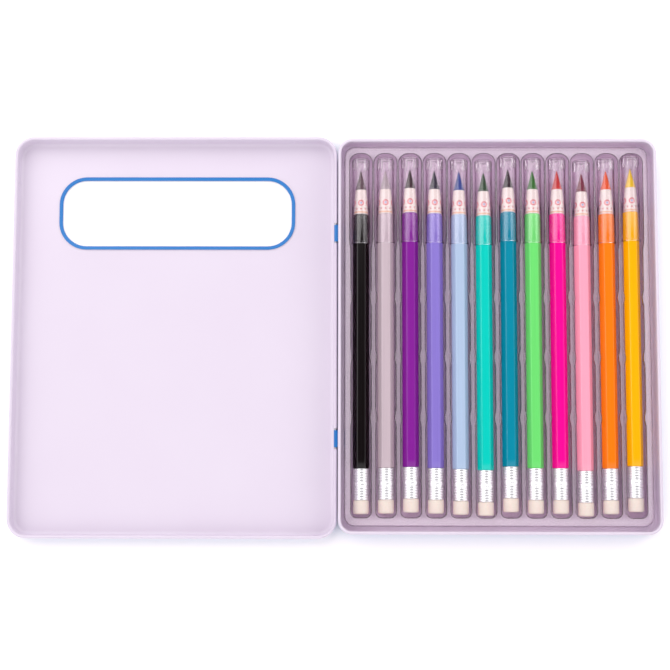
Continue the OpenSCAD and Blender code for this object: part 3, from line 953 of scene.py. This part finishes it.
# ---- Collars ----
# A glossy white moulded collar on each barrel, turned in towards the nib. Its print is a small
# pattern of coral rings with pale blue middles, over a dotted line and a peach band.
collar_l, collar_r, collar_front_r = 12.2, 3.45, 2.68
collar_straight_l = 3.4
printed_collar, tree = new_finish("White Collar With Dotted Print")
chart = add(tree, "ShaderNodeUVMap", uv_map="Round")
parts = add(tree, "ShaderNodeSeparateXYZ", {0: chart})
# Five rings round the collar, each 4.3 mm from the next, and two dots to a ring below them
girth = 2 * math.pi * collar_r
ring_count, ring_y, dot_y = 5, 5.4, 2.5
band_y, band_half = 0.9, 0.35
soft_edge = 0.12


def from_nearest(count, height):
    """Distance in millimetres from the nearest of count places round the collar."""
    turns = add(
        tree,
        "ShaderNodeMath",
        {0: parts.outputs["X"], 1: float(count), 2: 0.5},
        operation="MULTIPLY_ADD",
    )
    across = add(tree, "ShaderNodeMath", {0: turns}, operation="FRACT")
    across = add(tree, "ShaderNodeMath", {0: across, 1: 0.5}, operation="SUBTRACT")
    across = add(tree, "ShaderNodeMath", {0: across, 1: girth / count}, operation="MULTIPLY")
    along = add(tree, "ShaderNodeMath", {0: parts.outputs["Y"], 1: height}, operation="SUBTRACT")
    both = add(tree, "ShaderNodeCombineXYZ", {0: across, 1: along})
    return add(tree, "ShaderNodeVectorMath", {0: both}, operation="LENGTH").outputs["Value"]


def within(distance, radius):
    """1 inside a radius and 0 outside it, with a soft printed edge."""
    edge = {"Value": distance, "From Min": radius + soft_edge, "From Max": radius - soft_edge}
    return add(tree, "ShaderNodeMapRange", edge)


band = add(
    tree, "ShaderNodeMath", {0: parts.outputs["Y"], 1: band_y, 2: band_half}, operation="COMPARE"
)
to_ring = from_nearest(ring_count, ring_y)
tone = srgb("#e4d6d0")
for factor, colour in (
    (within(to_ring, 1.5), "#cc5f6c"),
    (within(to_ring, 0.9), "#e9cfc9"),
    (within(to_ring, 0.5), "#9fa9d2"),
    (within(from_nearest(2 * ring_count, dot_y), 0.42), "#cc7a78"),
    (band, "#dcab8c"),
):
    layers = {"Factor": factor, 6: tone, 7: srgb(colour)}
    tone = add(tree, "ShaderNodeMix", layers, data_type="RGBA").outputs[2]
surface = add(tree, "ShaderNodeBsdfPrincipled", {"Base Color": tone, "Roughness": 0.28, "IOR": 1.5})
add(tree, "ShaderNodeOutputMaterial", {"Surface": surface})

for pencil in pencils:
    mesh = turned_form(
        [
            (0, 0),
            (0, collar_r - 0.15),
            (0.15, collar_r),
            (collar_straight_l / 2, collar_r),
            *[
                (
                    collar_straight_l + t * (collar_l - 0.2 - collar_straight_l),
                    collar_r - (collar_r - collar_front_r) * t**1.4,
                )
                for t in (k / 10 for k in range(11))
            ],
            (collar_l, collar_front_r - 0.15),
            (collar_l, 0),
        ],
        shoulders[pencil],
        48,
    )
    piece = new_piece(f"{pencil}_collar", mesh, [printed_collar], crease=35)
    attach(piece, pencil)
    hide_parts(f"{pencil}_nose")

# ---- Nibs ----
# A cone of hard pressed colour core, ground to a blunt point. It is a little waxy, and
# grinding leaves fine rings round it.
nib_l, nib_r, point_r = 9.4, 2.6, 0.25
nib_colours = [
    "#5f454f",
    "#b4a4aa",
    "#330c1c",
    "#1c0a30",
    "#1c3a90",
    "#16401a",
    "#28081c",
    "#1e6c05",
    "#cc1c1c",
    "#7a0f35",
    "#f25404",
    "#f8cc00",
]
for pencil, colour in zip(pencils, nib_colours):
    # Rings are drawn 0.35 mm apart, coarser than real grinding marks, so that they show
    core = grained(
        f"Ground Core {colour[1:]}",
        (deeper(colour, 0.72), srgb(colour)),
        (2 / 3, 0.35, 1),
        detail=3,
        rough=0.5,
        relief=(0.3, 0.05),
        chart="Round",
    )
    mesh = turned_form(
        [
            (0, 0),
            (0, nib_r - 0.12),
            (0.12, nib_r),
            *[
                (0.12 + t * (nib_l - 0.3), nib_r + (point_r - nib_r) * t)
                for t in (k / 10 for k in range(1, 11))
            ],
            (nib_l - 0.05, point_r * 0.7),
            (nib_l, 0),
        ],
        shoulders[pencil] + Vector((0, collar_l, 0)),
        40,
    )
    piece = new_piece(f"{pencil}_nib", mesh, [core], crease=35)
    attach(piece, pencil)

# ---- Ferrules ----
# A tube of thin bright aluminium, crimped on by five pressed rings on each side of a wider
# middle band.
ferrule_l, ferrule_r, ferrule_wall = 15.3, 3.7, 0.25
# Pressed aluminium mirrors its surroundings, a little smeared round the tube by the press
smears = (1 / 3, 1 / 12, 1)
bright_aluminium = marked_metal(
    "Bright Pressed Aluminium", "#fbfbfd", 0.7, smears, 0.04, 0.09, chart="Round"
)

# Presses the rings and the band into a plain tube that runs along Y from a start point
band_l, band_rise, band_shoulder, flute_count, flute_depth = 2.8, 0.3, 1.4, 16, 0.2
press_count, ring_rise, flat_top = 5, 0.22, 0.7
tube_step, tube_edge = 0.12, 0.08
crimp, start = new_form(
    "Crimped Tube",
    {
        "Start": "NodeSocketVector",
        "Length": "NodeSocketFloat",
        "Band Length": "NodeSocketFloat",
        "Band Rise": "NodeSocketFloat",
        "Ring Count": "NodeSocketInt",
        "Ring Rise": "NodeSocketFloat",
        "Flute Count": "NodeSocketInt",
    },
)
place = add(crimp, "GeometryNodeInputPosition")
place = add(crimp, "ShaderNodeVectorMath", {0: place, 1: start.outputs["Start"]}, operation="SUBTRACT")
place = add(crimp, "ShaderNodeSeparateXYZ", {0: place})
middle, half_band = (
    add(crimp, "ShaderNodeMath", {0: start.outputs[whole], 1: 0.5}, operation="MULTIPLY")
    for whole in ("Length", "Band Length")
)
past_band = place.outputs["Y"]
for operation, by in (("SUBTRACT", middle), ("ABSOLUTE", 0.0), ("SUBTRACT", half_band)):
    past_band = add(crimp, "ShaderNodeMath", {0: past_band, 1: by}, operation=operation)
ring_run = add(crimp, "ShaderNodeMath", {0: middle, 1: half_band}, operation="SUBTRACT")
wave = past_band
for operation, by in (
    ("DIVIDE", ring_run),
    ("MULTIPLY", start.outputs["Ring Count"]),
    ("MULTIPLY", math.pi),
    ("SINE", 0.0),
    ("ABSOLUTE", 0.0),
):
    wave = add(crimp, "ShaderNodeMath", {0: wave, 1: by}, operation=operation)
# The rings have flat tops with narrow grooves between them
rings = add(crimp, "ShaderNodeMapRange", {"Value": wave, "From Max": flat_top})
beyond = add(crimp, "ShaderNodeMath", {0: past_band, 1: 0.0}, operation="GREATER_THAN")
for by in (start.outputs["Ring Rise"], beyond):
    rings = add(crimp, "ShaderNodeMath", {0: rings, 1: by}, operation="MULTIPLY")
# The band is pressed into shallow flutes, which scatter the light
flutes = add(
    crimp, "ShaderNodeMath", {0: place.outputs["X"], 1: place.outputs["Z"]}, operation="ARCTAN2"
)
for operation, by in (("MULTIPLY", start.outputs["Flute Count"]), ("COSINE", 0.0)):
    flutes = add(crimp, "ShaderNodeMath", {0: flutes, 1: by}, operation=operation)
flutes = add(
    crimp, "ShaderNodeMath", {0: flutes, 1: flute_depth, 2: 1 - flute_depth}, operation="MULTIPLY_ADD"
)
band = add(
    crimp,
    "ShaderNodeMapRange",
    {"Value": past_band, "From Min": 0.0, "From Max": -band_shoulder * MM},
    interpolation_type="SMOOTHSTEP",
)
for by in (start.outputs["Band Rise"], flutes):
    band = add(crimp, "ShaderNodeMath", {0: band, 1: by}, operation="MULTIPLY")
lift = add(crimp, "ShaderNodeMath", {0: rings, 1: band})
outwards = add(crimp, "ShaderNodeCombineXYZ", {0: place.outputs["X"], 2: place.outputs["Z"]})
outwards = add(crimp, "ShaderNodeVectorMath", {0: outwards}, operation="NORMALIZE")
shift = add(crimp, "ShaderNodeVectorMath", {0: outwards, "Scale": lift}, operation="SCALE")
pushed = add(crimp, "GeometryNodeSetPosition", {0: start, "Offset": shift})
real = add(crimp, "GeometryNodeRealizeInstances", {0: pushed})
dressed = add(crimp, "GeometryNodeSetMaterial", {0: real, "Material": bright_aluminium})
add(crimp, "NodeGroupOutput", {0: dressed})

for pencil in pencils:
    start_point = shoulders[pencil] - Vector((0, barrel_l + ferrule_l, 0))
    profile = [(0, ferrule_r - tube_edge)]
    profile += [(y, ferrule_r) for y in span(tube_step, ferrule_l - tube_step, tube_step)]
    profile += [(ferrule_l, ferrule_r - tube_edge)]
    profile += [(y, ferrule_r - ferrule_wall) for y in (ferrule_l - 0.1, ferrule_l / 2, 0.1)]
    mesh = turned_form(profile, start_point, 64, closed=True)
    piece = new_piece(f"{pencil}_ferrule", mesh, [bright_aluminium], crease=60)
    form(
        piece,
        crimp,
        {
            "Start": start_point * MM,
            "Length": ferrule_l * MM,
            "Band Length": band_l * MM,
            "Band Rise": band_rise * MM,
            "Ring Count": press_count,
            "Ring Rise": ring_rise * MM,
            "Flute Count": flute_count,
        },
    )
    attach(piece, pencil)
    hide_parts(f"{pencil}_eraser_end")

# ---- Erasers ----
# A plug of soft cream vinyl, held in the ferrule. Its skin is matt and a little dusty.
eraser_l, eraser_r, eraser_round = 6.7, 3.85, 0.9
tuck_l, tuck_in = 2.5, 0.45  # the part that the ferrule grips
cream_vinyl = grained(
    "Cream Vinyl Eraser",
    (srgb("#decec3"), srgb("#e6dad0")),
    [0.8] * 3,
    detail=4,
    rough=0.75,
    relief=(0.25, 0.05),
    more={"Subsurface Weight": 0.1, "Subsurface Scale": 0.5 * MM},
)
for pencil in pencils:
    end_point = shoulders[pencil] - Vector((0, barrel_l + ferrule_l + eraser_l, 0))
    corner = arc((eraser_round, eraser_r - eraser_round), eraser_round, 180, 90, 6)
    mesh = turned_form(
        [
            (0, 0),
            (0, 1.5),
            *corner,
            *[(y, eraser_r) for y in span(2, eraser_l - eraser_round, 2)],
            (eraser_l - 0.3, eraser_r - 0.03),
            (eraser_l, eraser_r - tuck_in),
            (eraser_l + tuck_l, eraser_r - tuck_in),
            (eraser_l + tuck_l, 0),
        ],
        end_point,
        48,
    )
    piece = new_piece(f"{pencil}_eraser", mesh, [cream_vinyl], crease=50)
    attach(piece, pencil)

# ---- Caps ----
# A thin moulded cap of clear polystyrene over each nib. Its lip has a bead, its bore steps in
# at a ledge ahead of the barrel, and ribs stiffen the closed end.
cap_cover, cap_r, cap_bore_r, cap_front_bore_r = 14.6, 4.45, 4.03, 3.75
ledge_y, cap_end_t, cap_round, lip_rise, lip_l = 17.4, 1.0, 1.2, 0.22, 0.9
rib_count, rib_l, rib_t, rib_depth, rib_sunk = 12, 5.0, 0.6, 0.8, 0.1
grip_count, grip_depth, grip_from, grip_full = 16, 0.1, 6.2, 5.2  # flutes, back from the end
# The caps' sides take a slightly darker wall colour, a painted shade
clear_styrene = clear_plastic(
    "Clear Moulded Polystyrene", "#f4eef3", "#fcfafc", 0.002, 0.0, 0.02, 0.002
)

# Where the ribs make the moulding thicker, it looks milkier; its sides take painted shade too
thick_styrene = clear_plastic("Thick Moulded Polystyrene", "#f6f0f6", "#fcfafc", 0.08, 0.1, 0.02, 0.002)

# Copies of one rib, set round a pencil's axis
ribs, start = new_form("Ribs Round An Axis", {"Count": "NodeSocketInt", "Axis": "NodeSocketVector"})
circle = add(ribs, "GeometryNodeMeshCircle", {"Vertices": start.outputs["Count"], "Radius": 1 * MM})
place = add(ribs, "GeometryNodeInputIndex")
turn = add(ribs, "ShaderNodeMath", {0: 2 * math.pi, 1: start.outputs["Count"]}, operation="DIVIDE")
turn = add(ribs, "ShaderNodeMath", {0: turn, 1: place}, operation="MULTIPLY")
turn = add(ribs, "ShaderNodeCombineXYZ", {1: turn})
gathered = add(ribs, "GeometryNodeSetPosition", {0: circle, "Position": start.outputs["Axis"]})
around = add(
    ribs, "GeometryNodeInstanceOnPoints", {"Points": gathered, "Instance": start, "Rotation": turn}
)
real = add(ribs, "GeometryNodeRealizeInstances", {0: around})
dressed = add(ribs, "GeometryNodeSetMaterial", {0: real, "Material": thick_styrene})
add(ribs, "NodeGroupOutput", {0: dressed})

for pencil in pencils:
    low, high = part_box(f"{pencil}_cap")
    cap_l = (high.y - low.y) / MM
    lip = shoulders[pencil] - Vector((0, cap_cover, 0))

    def fluted(angle, along, radius):
        """Shallow grip flutes round the outside of the closed end."""
        if radius < cap_r - cap_round:
            return radius
        depth = grip_depth * smooth(along, cap_l - grip_from, cap_l - grip_full)
        depth *= 0.5 + 0.5 * math.cos(grip_count * angle)
        return radius - depth * smooth(radius, cap_front_bore_r + 0.3, cap_r - 0.3)

    round_end = arc((cap_l - cap_round, cap_r - cap_round), cap_round, 90, 0, 6)
    profile = [
        (0, cap_bore_r),
        (0, cap_r - 0.05),
        (0.1, cap_r + lip_rise - 0.03),
        (0.3, cap_r + lip_rise),
        (lip_l - 0.2, cap_r + lip_rise),
        (lip_l, cap_r + lip_rise - 0.04),
        (lip_l + 0.15, cap_r),
        *[(y, cap_r) for y in span(3, cap_l - 6.5, 4)],
        *[(y, cap_r) for y in span(cap_l - grip_from, cap_l - grip_full, 0.25)],
        (cap_l - 3, cap_r),
        *round_end,
        (cap_l, 1.5),
        (cap_l - 0.15, 0.5),
        (cap_l - 0.15, 0.02),
        (cap_l - cap_end_t, 0.02),
        (cap_l - cap_end_t, cap_front_bore_r - 0.5),
        (cap_l - cap_end_t - 0.15, cap_front_bore_r - 0.15),
        (cap_l - cap_end_t - 0.5, cap_front_bore_r),
        *[(y, cap_front_bore_r) for y in span(cap_l - 6.5, ledge_y + 4, 4)],
        (ledge_y + 0.3, cap_front_bore_r),
        (ledge_y + 0.05, cap_front_bore_r + 0.05),
        (ledge_y, cap_bore_r - 0.04),
        (ledge_y - 0.15, cap_bore_r),
    ]
    mesh = turned_form(profile, lip, 96, closed=True, shape=fluted)
    piece = new_piece(f"{pencil}_clear_cap", mesh, [clear_styrene, thick_styrene], crease=50)

    rib_z = cap_front_bore_r + rib_sunk - rib_depth / 2
    mesh = box((0, -rib_l / 2, rib_z), (rib_t, rib_l, rib_depth))
    bmesh.ops.bevel(
        mesh,
        geom=[e for e in mesh.edges if abs((e.verts[0].co - e.verts[1].co).x) < 1e-9],
        offset=rib_t / 4 * MM,
        segments=2,
        affect="EDGES",
    )
    rib = new_piece("Cap Rib", mesh, [thick_styrene], crease=50)
    form(rib, ribs, {"Count": rib_count, "Axis": (lip + Vector((0, cap_l - cap_end_t + 0.2, 0))) * MM})
    mesh = bmesh.new()
    mesh.from_mesh(rib.data)
    for face in mesh.faces:
        face.material_index = 1
    mesh.from_mesh(piece.data)
    mesh.to_mesh(piece.data)
    mesh.free()
    bpy.data.objects.remove(rib)
    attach(piece, pencil)
    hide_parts(f"{pencil}_cap")
